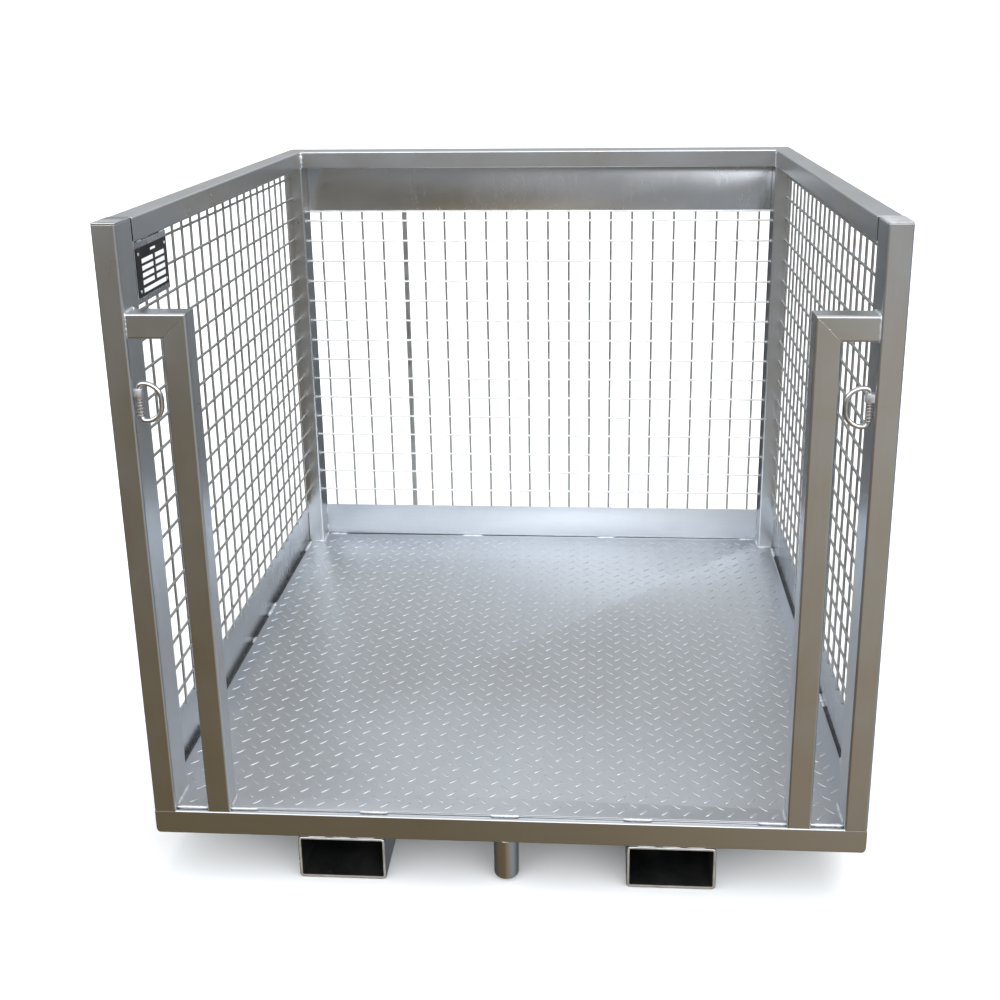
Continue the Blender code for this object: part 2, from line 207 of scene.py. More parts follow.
def zinc_tube(axis):
    """Satin plated tube: drawn lines along its axis, soft clouding, dust low down."""
    made = Surface("zinc_tube_" + "xyz"[axis], 1.0)
    tree, colour = made.tree, COLOUR_OF["zinc_tube"]
    fine, broad = [230.0] * 3, [60.0] * 3
    fine[axis], broad[axis] = 4.0, 1.5
    lines = made.noise(fine, 2.0)
    streaks = made.noise(broad, 2.0)
    clouds = made.noise(8.0, 5.0, 0.6, 0.4)
    made.ground(clouds, 0.3, 0.7, tint(colour, 0.93, WARM), tint(colour, 1.04, COOL))
    made.layer(lines, 0.30, 0.70, 0.14, tint(colour, 0.86))
    made.layer(streaks, 0.50, 0.80, 0.10, tint(colour, 1.18))
    height = add_node(tree, "ShaderNodeSeparateXYZ", [("Vector", made.place)]).outputs["Z"]
    low_down = made.spread(height, DUST_TOP, DUST_FULL)
    dust = maths(tree, "MULTIPLY", low_down, made.spread(clouds, 0.35, 0.7))
    made.base = blend(tree, maths(tree, "MULTIPLY", dust, 0.25), made.base, DUST)
    return made.finish(made.rough(clouds, 0.27, 0.31), made.noise(900.0, 2.0), 0.03, 0.0004)


def zinc_plate(name, lift, rough_low, rough_high):
    """Rolled and plated sheet: faint mill lines, blotchy plating, handling marks; lift lightens it all,
    which on the rear kick plate is painted light.
    """
    made = Surface(name, 1.0)
    colour = COLOUR_OF["zinc_plate"]
    clouds = made.noise(5.5, 5.0, 0.62, 0.6)
    mill = made.noise((5.0, 5.0, 260.0), 3.0, 0.6)
    marks = made.noise((70.0, 70.0, 14.0), 4.0, 0.7, turn=(0.5, 0.9, 0.3))
    made.ground(clouds, 0.3, 0.7, tint(colour, 0.94 * lift), tint(colour, 1.04 * lift))
    made.layer(mill, 0.4, 0.7, 0.10, tint(colour, 0.8))
    made.layer(marks, 0.68, 0.76, 0.20, tint(colour, 1.2))
    rubbed = made.spread(marks, 0.5, 0.75, 0.0, 0.04)
    rough = maths(made.tree, "ADD", made.rough(clouds, rough_low, rough_high), rubbed)
    return made.finish(rough, made.noise(800.0, 2.0), 0.03, 0.0004)


def tread_metal(name, lift, rough_low, rough_high):
    """Plated tread plate; lift brightens the raised bars, which wear smooth."""
    made = Surface(name, 1.0)
    colour = tint(COLOUR_OF["tread_plate"], lift)
    clouds = made.noise(3.2, 5.0, 0.6, 0.5)
    scuffs = made.noise((9.0, 120.0, 9.0), 4.0, 0.65, turn=(0.0, 0.0, 0.35))
    grit = made.noise(420.0, 3.0, 0.6)
    made.ground(clouds, 0.3, 0.7, tint(colour, 0.96), tint(colour, 1.03))
    made.layer(scuffs, 0.62, 0.78, 0.25, tint(colour, 1.22))
    made.layer(grit, 0.60, 0.72, 0.25, tint(colour, 0.7))
    worn = made.rough(grit, -0.02, 0.03)
    rough = maths(made.tree, "ADD", made.rough(clouds, rough_low, rough_high), worn)
    return made.finish(rough, grit, 0.12, 0.0005)


def mesh_wire(name, lift, metallic):
    """Drawn wire, dulled by plating; lift scales the slot's colour, and the high lift of the rear level
    wires makes a painted highlight.
    """
    made = Surface(name, metallic)
    colour = tint(COLOUR_OF["mesh_wire"], lift)
    clouds = made.noise(30.0, 4.0, 0.6)
    grit = made.noise(700.0, 3.0, 0.6)
    made.ground(clouds, 0.35, 0.65, tint(colour, 0.88), tint(colour, 1.10, COOL))
    made.layer(grit, 0.55, 0.7, 0.3, tint(colour, 0.7))
    return made.finish(made.rough(clouds, 0.34, 0.5), grit, 0.25, 0.0004)


def weld_metal():
    """Plated-over weld: pale, rough, with spatter and a warm halo here and there."""
    made = Surface("weld_bead", 1.0)
    colour = COLOUR_OF["zinc_plate"]
    clouds = made.noise(60.0, 4.0, 0.6)
    grit = made.noise(620.0, 3.0, 0.65)
    made.ground(clouds, 0.35, 0.65, tint(colour, 1.05, WARM), tint(colour, 1.35, COOL))
    made.layer(grit, 0.56, 0.68, 0.45, tint(colour, 0.62))
    return made.finish(made.rough(grit, 0.36, 0.58), grit, 0.45, 0.0006)


def cut_edge(name, dark, light):
    """Sawn and dressed metal: rough, with fine saw lines."""
    made = Surface(name, 0.25)
    lines = made.noise((90.0, 700.0, 90.0), 3.0, 0.6)
    clouds = made.noise(45.0, 4.0, 0.6)
    made.ground(clouds, 0.3, 0.7, dark, light)
    made.layer(lines, 0.55, 0.7, 0.25, tint(dark, 0.7))
    return made.finish(made.rough(clouds, 0.42, 0.56), lines, 0.12, 0.0004)


def bare_inside_painted_shade():
    """Inside of the tubes: dull, flaking bare steel, darkened to near-black as painted shade for the shade
    deep inside them.
    """
    made = Surface("tube_inside_shaded", 0.75)
    clouds = made.noise(14.0, 5.0, 0.65)
    flakes = made.noise(160.0, 3.0, 0.6)
    made.ground(clouds, 0.35, 0.7, (0.012, 0.013, 0.014), (0.040, 0.039, 0.037))
    made.layer(flakes, 0.6, 0.72, 0.5, (0.075, 0.065, 0.055))
    return made.finish(made.rough(clouds, 0.5, 0.75), flakes, 0.3, 0.0006)


def groove_painted_shade():
    """Painted shade: a dark, rough sheet that stands in for the shade in the gaps along the floor's edges
    and under the data plate's rail.
    """
    made = Surface("groove_painted_shade", 0.0)
    shade_blotches = made.noise(90.0, 4.0, 0.65)
    made.ground(shade_blotches, 0.35, 0.7, (0.018, 0.020, 0.024), (0.07, 0.072, 0.075))
    return made.finish(made.rough(shade_blotches, 0.7, 0.95), shade_blotches, 0.5, 0.001)


def ring_steel():
    made = Surface("ring_steel", 1.0)
    colour = COLOUR_OF["ring_steel"]
    clouds = made.noise(70.0, 3.0, 0.55)
    scratches = made.noise((60.0, 60.0, 900.0), 3.0, 0.6)
    made.ground(clouds, 0.35, 0.65, tint(colour, 0.86), tint(colour, 1.14))
    made.layer(scratches, 0.62, 0.72, 0.3, tint(colour, 0.66))
    return made.finish(made.rough(clouds, 0.16, 0.28), scratches, 0.08, 0.0003)


def spring_steel():
    made = Surface("spring_steel", 1.0)
    colour = COLOUR_OF["spring_steel"]
    clouds = made.noise(220.0, 3.0, 0.55)
    made.ground(clouds, 0.35, 0.65, tint(colour, 0.72, WARM), tint(colour, 1.25))
    return made.finish(made.rough(clouds, 0.24, 0.40), clouds, 0.10, 0.0003)


def label_enamel():
    made = Surface("label_enamel", 0.0)
    made.shader.inputs["Specular IOR Level"].default_value = 0.12
    colour = COLOUR_OF["label_black"]
    film = made.noise(40.0, 4.0, 0.6)
    specks = made.noise(900.0, 3.0, 0.6)
    made.ground(film, 0.35, 0.7, tint(colour, 0.55), tint(colour, 1.1))
    made.layer(specks, 0.66, 0.74, 0.4, (0.08, 0.08, 0.08))
    return made.finish(made.rough(film, 0.36, 0.52), specks, 0.12, 0.0002)


def label_field():
    """Bare aluminium blanks that show through the enamel."""
    made = Surface("label_field", 0.10)
    brush = made.noise((60.0, 60.0, 1400.0), 3.0, 0.6)
    film = made.noise(80.0, 3.0, 0.6)
    made.ground(film, 0.35, 0.7, (0.86, 0.86, 0.86), (0.95, 0.95, 0.95))
    made.layer(brush, 0.5, 0.7, 0.20, (0.74, 0.74, 0.74))
    return made.finish(made.rough(brush, 0.32, 0.46), brush, 0.08, 0.0002)


def rivet_head():
    made = Surface("rivet_head", 1.0)
    colour = COLOUR_OF["rivet_head"]
    clouds = made.noise(500.0, 3.0, 0.55)
    made.ground(clouds, 0.35, 0.65, tint(colour, 0.85), tint(colour, 1.15))
    return made.finish(made.rough(clouds, 0.22, 0.38), clouds, 0.12, 0.0002)


def studio_floor():
    made = Surface("studio_floor", 0.0)
    clouds = made.noise(1.2, 3.0)
    made.base = blend(made.tree, clouds, (0.90, 0.90, 0.90), (0.93, 0.93, 0.925))
    return made.plain(made.rough(clouds, 0.80, 0.90))


MATERIALS = {
    "tube_x": zinc_tube(X),
    "tube_y": zinc_tube(Y),
    "tube_z": zinc_tube(Z),
    "plate": zinc_plate("zinc_plate", 1.0, 0.23, 0.27),
    # the rear kick plate's zinc is lifted 12% lighter: painted light, not another metal
    "kick": zinc_plate("zinc_kick_plate_lit", 1.12, 0.33, 0.37),
    "tread": tread_metal("tread_plate", 0.92, 0.31, 0.34),
    "tread_bar": tread_metal("tread_bar", 1.02, 0.28, 0.32),
    "wire_upright": mesh_wire("wire_upright", 0.62, 1.0),
    "wire_level": mesh_wire("wire_level", 0.62, 1.0),
    # the rear panel's level wires: a lighter, less metallic copy of the wire, a painted highlight for light
    # from above
    "wire_painted_highlight": mesh_wire("wire_painted_highlight", 1.35, 0.45),
    "weld": weld_metal(),
    # bare steel inside the tubes, darkened to near-black: partly painted shade
    "inside": bare_inside_painted_shade(),
    "cut": cut_edge("cut_edge", (0.20, 0.18, 0.155), (0.34, 0.31, 0.28)),
    "dressed": cut_edge("dressed_cap", (0.36, 0.36, 0.37), (0.52, 0.52, 0.53)),
    # painted shade: a dark sheet in the floor gaps and in the seam under the data plate
    "painted_shade": groove_painted_shade(),
    "ring": ring_steel(),
    "spring": spring_steel(),
    "enamel": label_enamel(),
    "field": label_field(),
    "rivet": rivet_head(),
}


# -------- surroundings

def make_world():
    """A pale overcast room: bright behind the cage, darker and warmer in front of it."""
    world = bpy.data.worlds.new("studio")
    bpy.context.scene.world = world
    world.use_nodes = True
    tree = world.node_tree
    back = tree.nodes["Background"]
    direction = add_node(tree, "ShaderNodeTexCoord").outputs["Generated"]
    split = add_node(tree, "ShaderNodeSeparateXYZ", [("Vector", direction)])
    side, depth, up = split.outputs["X"], split.outputs["Y"], split.outputs["Z"]

    def ramp(value, stops):
        made = add_node(tree, "ShaderNodeValToRGB", [("Fac", value)])
        points = made.color_ramp.elements
        while len(points) < len(stops):
            points.new(0.5)
        for point, (position, colour) in zip(points, stops):
            point.position = position
            point.color = (*colour, 1.0)
        return made.outputs["Color"]

    rear_sky = ramp(up, [
        (0.0, (0.23, 0.23, 0.23)), (0.14, (0.31, 0.32, 0.33)), (0.30, (0.76, 0.79, 0.82)),
        (0.40, (0.80, 0.83, 0.85)), (0.45, (0.17, 0.165, 0.155)), (0.50, (0.17, 0.165, 0.155)),
        (0.56, (0.50, 0.50, 0.49)), (1.0, (0.90, 0.91, 0.93))])
    window = blend(tree, spread(tree, side, -0.25, 0.20), (2.7, 2.8, 2.9), (3.7, 3.8, 3.9))
    low_front = ramp(up, [(0.0, (0.24, 0.235, 0.23)), (0.20, (0.30, 0.30, 0.30))])
    front_sky = blend(tree, spread(tree, up, 0.20, 0.34), low_front, window)
    front_sky = blend(tree, spread(tree, up, 0.50, 0.70), front_sky, (0.93, 0.95, 0.98))
    sky = blend(tree, spread(tree, depth, -0.35, 0.35), front_sky, rear_sky)
    below = spread(tree, up, -0.60, 0.0)
    dark_ground = ramp(below, [
        (0.0, (0.145, 0.108, 0.055)), (0.45, (0.142, 0.108, 0.060)), (0.68, (0.165, 0.145, 0.115)),
        (0.80, (0.225, 0.222, 0.215)), (1.0, (0.27, 0.27, 0.265))])
    light_ground = ramp(below, [
        (0.0, (0.27, 0.215, 0.145)), (0.45, (0.48, 0.41, 0.31)), (0.62, (0.76, 0.70, 0.62)),
        (0.80, (0.28, 0.28, 0.28)), (1.0, (0.27, 0.27, 0.27))])
    lean = maths(tree, "MULTIPLY_ADD", up, -0.35, side)
    front_ground = blend(tree, spread(tree, lean, 0.12, 0.38), dark_ground, light_ground)
    near_level = blend(tree, spread(tree, up, -0.21, -0.14), front_ground, (0.30, 0.30, 0.30))
    front_ground = blend(tree, spread(tree, side, -0.30, -0.22), front_ground, near_level)
    front_ground = blend(tree, spread(tree, side, 0.30, 0.55), front_ground, (0.30, 0.33, 0.37))
    rear_right = blend(tree, spread(tree, up, -0.40, -0.10), (0.10, 0.11, 0.12), (0.165, 0.18, 0.195))
    rear_ground = blend(tree, spread(tree, side, -0.20, 0.20), (0.055, 0.060, 0.065), rear_right)
    ground = blend(tree, spread(tree, depth, -0.25, 0.45), front_ground, rear_ground)
    surround = blend(tree, spread(tree, up, -0.02, 0.02), ground, sky)
    seen = add_node(tree, "ShaderNodeLightPath").outputs["Is Camera Ray"]
    tree.links.new(blend(tree, seen, surround, (0.84, 0.84, 0.84)), back.inputs["Color"])
    back.inputs["Strength"].default_value = 1.2


def make_stage():
    half = 40.0
    corners = [(-half, -half, 0), (half, -half, 0), (half, half, 0), (-half, half, 0)]
    mesh = new_mesh("studio_floor", corners, [(0, 1, 2, 3)])
    mesh.materials.append(studio_floor())
    floor = show("studio_floor", mesh)
    floor.location = (0, 0, cad_box[0].z - 0.0005)
    floor.visible_glossy = False


# -------- mesh helpers

def add_piece(name, mesh, *materials):
    for material in materials:
        mesh.materials.append(MATERIALS[material])
    return show(name, mesh)


def stand_for(piece, *nodes):
    """Put the piece in place of those CAD nodes, on their body."""
    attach(piece, BODY_OF[nodes[0]])
    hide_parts(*nodes)


def join_in(piece, partner):
    """An extra piece on the partner's body."""
    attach(piece, BODY_OF[partner])


def smooth(piece, angle=40):
    piece.data.shade_smooth()
    piece.data.set_sharp_from_angle(angle=math.radians(angle))


def weigh_normals(piece):
    piece.data.shade_smooth()
    weighted = piece.modifiers.new("weighted_normals", "WEIGHTED_NORMAL")
    weighted.weight = 80
    weighted.keep_sharp = True


def new_mesh(name, points, faces, outward=False):
    mesh = bpy.data.meshes.new(name)
    mesh.from_pydata(points, [], faces)
    if outward:
        shape = bmesh.new()
        shape.from_mesh(mesh)
        bmesh.ops.recalc_face_normals(shape, faces=shape.faces)
        shape.to_mesh(mesh)
        shape.free()
    return mesh


def turns(count):
    """The angles that divide a full circle."""
    return [2 * math.pi * i / count for i in range(count)]


def ring_faces(start, sides, total, closed=False):
    """Quads between rings of points; closed joins the last ring to the first."""
    faces = []
    for r in range(total if closed else total - 1):
        here, there = start + r * sides, start + (r + 1) % total * sides
        for i in range(sides):
            j = (i + 1) % sides
            faces.append((here + i, here + j, there + j, there + i))
    return faces


def cap_faces(start, sides, total):
    """The first ring's cap, then the last ring's."""
    last = start + (total - 1) * sides
    return [tuple(start + i for i in reversed(range(sides))), tuple(last + i for i in range(sides))]


def rings_to_mesh(name, rings, closed):
    size = (0, len(rings[0]), len(rings))
    faces = ring_faces(*size, closed) + ([] if closed else cap_faces(*size))
    return new_mesh(name, [point for ring in rings for point in ring], faces, outward=True)


def near_first(low, high, sign):
    """The two x faces of a box, the one nearer the middle of the cage first."""
    return (low.x, high.x) if sign > 0 else (high.x, low.x)


def kick_face(side, sign):
    """The inner face of a side kick plate."""
    return near_first(*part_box(f"{side}_kick_plate"), sign)[0]


def rounded_rectangle(width, depth, radii, stops=()):
    """Points round a section, one radius per corner; stops are heights of more points."""
    points = []
    for quarter, (sx, sy) in enumerate(((1, 1), (-1, 1), (-1, -1), (1, -1))):
        radius = radii[quarter]
        if quarter == 2:
            points += [(-width / 2, stop - depth / 2) for stop in reversed(stops)]
        for i in range(CORNER_STEPS + 1):
            angle = (quarter + i / CORNER_STEPS) * math.pi / 2
            points.append((sx * (width / 2 - radius) + radius * math.cos(angle),
                           sy * (depth / 2 - radius) + radius * math.sin(angle)))
    return points + [(width / 2, stop - depth / 2) for stop in stops]


# -------- tubes

def tube_piece(node, axis, wall, radii, low_mitre=None, high_mitre=None, ground=0.0):
    """A hollow rectangular tube that fills a CAD node's box, its cut edges broken.

    A mitre is (axis across the tube, 1 or -1 for the side that keeps the full length).
    ground is the radius to which the lower corners of the ends are dressed.
    """
    low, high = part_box(node)
    centre = (low + high) / 2
    first, second = [a for a in (X, Y, Z) if a != axis]
    width, depth = high[first] - low[first], high[second] - low[second]
    stops = (ground * 0.65, ground) if ground else ()

    def dressed(height):
        reach = max(0.0, ground - height)
        return ground - math.sqrt(ground * ground - reach * reach)

    def ring(inset, from_low, setback):
        corners = [max(radius - inset, 0.0008) for radius in radii]
        points = []
        for a, b in rounded_rectangle(width - 2 * inset, depth - 2 * inset, corners, stops=stops):
            point = Vector(centre)
            point[first] += a
            point[second] += b
            mitre = low_mitre if from_low else high_mitre
            cut = setback
            if mitre:
                across, sign = mitre
                long_face = high[across] if sign > 0 else low[across]
                cut += max(abs(point[across] - long_face), dressed(point.z - low.z))
            point[axis] = low[axis] + cut if from_low else high[axis] - cut
            points.append(point)
        return points

    edge, ends = (POCKET_CHAMFER, 2) if wall == POCKET_WALL else (END_CHAMFER, 0)
    rings = [
        ring(0, True, edge), ring(0, False, edge), ring(edge, False, 0),
        ring(wall - edge, False, 0), ring(wall, False, edge),
        ring(wall, True, edge), ring(wall - edge, True, 0), ring(edge, True, 0),
    ]
    mesh = rings_to_mesh(node + "_tube", rings, closed=True)
    piece = add_piece(node + "_tube", mesh, "tube_" + "xyz"[axis], "inside", "cut")
    finish = (0, 0, ends, ends, 1, ends, ends, 0)
    for i, face in enumerate(mesh.polygons):
        face.material_index = finish[i // len(rings[0])]
    weigh_normals(piece)
    stand_for(piece, node)


def build_tubes():
    base = (BASE_WALL, [BASE_RADIUS] * 4)
    thin = (THIN_WALL, [THIN_RADIUS] * 4)
    for node, sign in (("base_front_rail", -1), ("base_rear_rail", 1)):
        tube_piece(node, X, *base, (Y, sign), (Y, sign), GROUND_CORNER)
    for (side, sign), outer_low in zip(SIDES, (2, 3)):
        radii = [BASE_RADIUS] * 4
        radii[outer_low] = GROUND_CORNER
        tube_piece(f"base_{side}_rail", Y, BASE_WALL, radii, (X, sign), (X, sign))
    for node in BEARERS:
        tube_piece(node, X, *base)
    for side, sign in SIDES:
        tube_piece(f"fork_pocket_{side}", Y, POCKET_WALL, [POCKET_RADIUS] * 4)
        tube_piece(f"front_{side}_post", Z, *thin)
        tube_piece(f"rear_{side}_post", Z, *thin)
        tube_piece(f"{side}_top_rail", Y, *thin)
        tube_piece(f"{side}_guard_upright", Z, *thin, high_mitre=(X, -sign))
        corner = {"high_mitre" if sign < 0 else "low_mitre": (Z, 1)}
        tube_piece(f"{side}_guard_rail", X, *thin, **corner)
    tube_piece("rear_top_rail", X, *thin)


def build_clamp_post():
    """Round post with a closed, rounded foot."""
    low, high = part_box("clamp_post_cap")
    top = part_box("clamp_post")[1].z
    radius = (high.x - low.x) / 2
    centre = (low + high) / 2
    foot, foot_steps, tip = 0.005, 6, 0.0006
    profile = [(radius, top)]
    for i in range(foot_steps + 1):
        angle = i / foot_steps * math.pi / 2
        profile.append((radius - foot + foot * math.cos(angle), low.z + foot - foot * math.sin(angle)))
    profile += [(radius * 0.5, low.z), (tip, low.z)]
    rings = [[(centre.x + r * math.cos(a), centre.y + r * math.sin(a), z) for a in turns(40)]
             for r, z in profile]
    mesh = rings_to_mesh("clamp_post_body", rings, closed=False)
    piece = add_piece("clamp_post_body", mesh, "tube_z")
    smooth(piece)
    stand_for(piece, "clamp_post", "clamp_post_cap")


# -------- plates

def bevelled_copy(node, suffix, material, width=0.0007, segments=2):
    """The node's own shape with its flat faces merged and its edges broken."""
    mesh = frame["nodes"][node].data.copy()
    shape = bmesh.new()
    shape.from_mesh(mesh)
    bmesh.ops.remove_doubles(shape, verts=shape.verts, dist=0.00001)
    bmesh.ops.dissolve_limit(shape, angle_limit=math.radians(1), verts=shape.verts, edges=shape.edges)
    shape.to_mesh(mesh)
    shape.free()
    mesh.materials.clear()
    piece = add_piece(f"{node}_{suffix}", mesh, material)
    mesh.shade_smooth()
    edges = piece.modifiers.new("broken_edges", "BEVEL")
    edges.width = width
    edges.segments = segments
    edges.limit_method = "ANGLE"
    edges.angle_limit = math.radians(40)
    edges.harden_normals = True
    stand_for(piece, node)


def build_plates():
    cap_finish = {"left": "plate", "right": "dressed"}
    for side, _ in SIDES:
        bevelled_copy(f"{side}_kick_plate", "sheet", "plate")
        bevelled_copy(f"front_{side}_post_cap", "sheet", cap_finish[side], 0.0009)
        bevelled_copy(f"{side}_top_rail_cap", "sheet", "plate", 0.0009)
    bevelled_copy("rear_kick_plate", "sheet", "kick")
    bevelled_copy("rear_head_plate", "sheet", "plate")
    bevelled_copy("floor_plate", "sheet", "tread", 0.0008)


# -------- tread bars

BAR_PITCH_X, BAR_PITCH_Y = 0.0367, 0.0370
BAR_PHASE_X, BAR_PHASE_Y = 0.0131, -0.4638
BAR_LENGTH, BAR_WIDTH = 0.0215, 0.0050
BAR_EDGE, BAR_SIDES = 0.009, 12


def bar_fits(x, y):
    """True where a whole bar lies on the plate, clear of posts and guards."""
    def within(node, margin):
        low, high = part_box(node)
        return low.x - margin < x < high.x + margin and low.y - margin < y < high.y + margin

    feet = [node for side, _ in SIDES
            for node in (f"front_{side}_post", f"rear_{side}_post", f"{side}_guard_upright")]
    return within("floor_plate", -BAR_EDGE) and not any(within(node, BAR_EDGE) for node in feet)


def bar_points(x, y, level, turn, height):
    """Three rings of a raised lens, long axis at the turn."""
    points = []
    cos, sin = math.cos(turn), math.sin(turn)
    for scale, lift in ((1.0, -0.0002), (0.70, height * 0.78), (0.34, height)):
        for angle in turns(BAR_SIDES):
            along = math.cos(angle) * BAR_LENGTH / 2 * (scale if scale > 0.9 else scale + 0.12)
            across = math.sin(angle) * BAR_WIDTH / 2 * scale
            points.append((x + along * cos - across * sin, y + along * sin + across * cos, level + lift))
    return points


def build_tread():
    def steps(low, high, phase, pitch):
        return range(math.floor((low - phase) / pitch), math.ceil((high - phase) / pitch))

    low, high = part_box("floor_plate")
    points, faces = [], []
    columns = steps(low.x, high.x, BAR_PHASE_X, BAR_PITCH_X)
    rows = steps(low.y, high.y, BAR_PHASE_Y, BAR_PITCH_Y)
    for half_step, degrees, height in ((0.0, 45, 0.0010), (0.5, -45, 0.0006)):
        turn = math.radians(degrees)
        for column in columns:
            for row in rows:
                x = BAR_PHASE_X + (column + half_step) * BAR_PITCH_X
                y = BAR_PHASE_Y + (row + half_step) * BAR_PITCH_Y
                if not bar_fits(x, y):
                    continue
                size = (len(points), BAR_SIDES, 3)
                points += bar_points(x, y, high.z, turn, height)
                faces += ring_faces(*size) + cap_faces(*size)[::-1]
    mesh = new_mesh("floor_tread_bars", points, faces)
    piece = add_piece("floor_tread_bars", mesh, "tread_bar")
    mesh.shade_smooth()
    join_in(piece, "floor_plate")


# -------- wire mesh

WIRE_RADIUS, WIRE_SIDES = 0.0025, 8
WIRE_GAP = 0.0002
WIRE_SHAKE, WIRE_WANDER = 0.0002, 0.0006


def ring_at(point, radius, side, other, sides):
    """Points round a bar, along two unit vectors."""
    return [point + radius * (side * math.cos(a) + other * math.sin(a)) for a in turns(sides)]


def sweep(path, radii, sides, start_frame=None):
    """Rings of a round bar along a path, without twist."""
    rings = []
    tangent = (path[1] - path[0]).normalized()
    side = start_frame or tangent.orthogonal().normalized()
    for i, point in enumerate(path):
        ahead = path[min(i + 1, len(path) - 1)] - path[max(i - 1, 0)]
        tangent = ahead.normalized()
        side = (side - tangent * side.dot(tangent)).normalized()
        other = tangent.cross(side)
        rings.append(ring_at(point, radii[i], side, other, sides))
    return rings


class Bars:
    """Collects round bars, beads and lumps into one mesh."""

    def __init__(self):
        self.points = []
        self.faces = []

    def add(self, path, radii, sides, start_frame=None):
        rings = sweep(path, radii, sides, start_frame)
        size = (len(self.points), sides, len(rings))
        self.points += [p for ring in rings for p in ring]
        self.faces += ring_faces(*size) + cap_faces(*size)

    def piece(self, name, *materials, switch_at=None):
        """The collected mesh; faces from switch_at onwards take the second material."""
        mesh = new_mesh(name, [tuple(p) for p in self.points], self.faces)
        made = add_piece(name, mesh, *materials)
        for face in mesh.polygons[switch_at or len(self.faces):]:
            face.material_index = 1
        smooth(made, 60)
        return made


def shake(reach):
    return random.uniform(-reach, reach)


def grid_lines(anchor, pitch, low, high, margin):
    first = math.ceil((low + margin - anchor) / pitch)
    last = math.floor((high - margin - anchor) / pitch)
    return [anchor + i * pitch for i in range(first, last + 1)]


def mesh_panel(node, along, plane, inward, columns, rows, top, bottom, level_light_copy):
    """Upright wires outside, level wires welded to their inner side.

    along is X or Y; plane is where the upright wires run; the last argument is the level wires' material, on
    the rear panel a lighter copy that paints the highlight from above.
    """
    random.seed(node)
    low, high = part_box(node)
    across = Y if along == X else X
    bars = Bars()
    lean = WIRE_RADIUS * 1.62

    def place(a, z, depth):
        point = Vector((0, 0, z + shake(WIRE_SHAKE)))
        point[along] = a + shake(WIRE_SHAKE)
        point[across] = plane + inward * depth + shake(WIRE_SHAKE)
        return point

    for column in columns:
        wander = shake(WIRE_WANDER)
        levels = [bottom] + [z for z in rows if bottom < z < top] + [top]
        path = [place(column + wander, z, 0) for z in levels]
        bars.add(path, [WIRE_RADIUS] * len(path), WIRE_SIDES)
    uprights = len(bars.faces)
    for row in rows:
        wander = shake(WIRE_WANDER)
        stops = [low[along]] + sorted(columns) + [high[along]]
        path = [place(a, row + wander, lean) for a in stops]
        bars.add(path, [WIRE_RADIUS] * len(path), WIRE_SIDES)
    piece = bars.piece(node + "_wires", "wire_upright", level_light_copy, switch_at=uprights)
    stand_for(piece, node)


def build_mesh():
    overlap = 0.004
    low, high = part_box("left_mesh")
    rows = grid_lines(1.018, 0.0497, low.z, high.z, 0.012)
    columns = grid_lines(-0.127, 0.0492, low.y, high.y, 0.010)
    for side, sign in SIDES:
        plane = kick_face(side, sign) - sign * (WIRE_RADIUS + WIRE_GAP)
        mesh_panel(f"{side}_mesh", Y, plane, -sign, columns, rows, high.z, low.z - overlap, "wire_level")
    low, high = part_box("rear_mesh")
    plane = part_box("rear_kick_plate")[1].y + WIRE_RADIUS + WIRE_GAP
    columns = grid_lines(-0.2784, 0.0508, low.x, high.x, 0.012)
    seam = min(columns, key=lambda x: abs(x + 0.3292))
    columns += [seam + 1.35 * WIRE_RADIUS, seam + 2.7 * WIRE_RADIUS]
    rows = grid_lines(0.9577, 0.0502, low.z, high.z, 0.010)
    rows.append(high.z - 1.2 * WIRE_RADIUS)
    # the rear level wires take the painted-highlight copy of the wire
    mesh_panel("rear_mesh", X, plane, -1, columns, rows, high.z + 0.012, low.z - 0.008, "wire_painted_highlight")


# -------- welds

def bead(bars, start, end, radius, ripple=0.0034, wobble=0.10):
    """A rippled weld bead from start to end, tapered at both ends."""
    start, end = Vector(start), Vector(end)
    length = (end - start).length
    steps = max(3, 2 * round(length / ripple))
    path, radii = [], []
    for i in range(steps + 1):
        t = i / steps
        taper = min(1.0, 0.45 + min(t, 1 - t) * length / (2.2 * radius) * 0.55)
        crest = 1.0 if i % 2 else 0.84
        path.append(start.lerp(end, t))
        radii.append(radius * taper * crest * random.uniform(1 - wobble, 1 + wobble))
    bars.add(path, radii, 8)


SIDE_STITCHES = {
    "left": ((-0.530, -0.492), (-0.345, -0.300), (-0.016, 0.010), (0.112, 0.178), (0.470, 0.532)),
    "right": ((-0.532, -0.398), (-0.225, -0.176), (0.090, 0.135), (0.480, 0.532)),
}
REAR_STITCHES = ((-0.556, -0.508), (-0.204, -0.150), (0.150, 0.196), (0.516, 0.556))
FRONT_STITCH_PITCH, FRONT_STITCH_HALF = 0.223, 0.0235


def floor_stitches():
    """Short welds that tie the floor plate to the frame and bridge the side slots."""
    random.seed("floor stitches")
    bars = Bars()
    low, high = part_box("floor_plate")
    for step in (-2, -1, 0, 1, 2):
        x, y, z = step * FRONT_STITCH_PITCH, low.y - 0.0006, high.z - 0.0022
        bead(bars, (x - FRONT_STITCH_HALF, y, z), (x + FRONT_STITCH_HALF, y, z), 0.0030)
    y, z = low.y - 0.0010, high.z - 0.0016
    for side, sign in SIDES:
        post_x = near_first(*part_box(f"front_{side}_post"), sign)[0]
        guard_x = near_first(*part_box(f"{side}_guard_upright"), sign)[1]
        bead(bars, (post_x, y, z), (guard_x, y, z), 0.0036)
    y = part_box("rear_kick_plate")[0].y - 0.0030
    for x_from, x_to in REAR_STITCHES:
        bead(bars, (x_from, y, z), (x_to, y, z), 0.0044)
    for side, sign in SIDES:
        x = kick_face(side, sign) - sign * 0.0036
        for y_from, y_to in SIDE_STITCHES[side]:
            bead(bars, (x, y_from, z), (x, y_to, z), 0.0048)
    join_in(bars.piece("floor_stitch_welds", "weld"), "floor_plate")


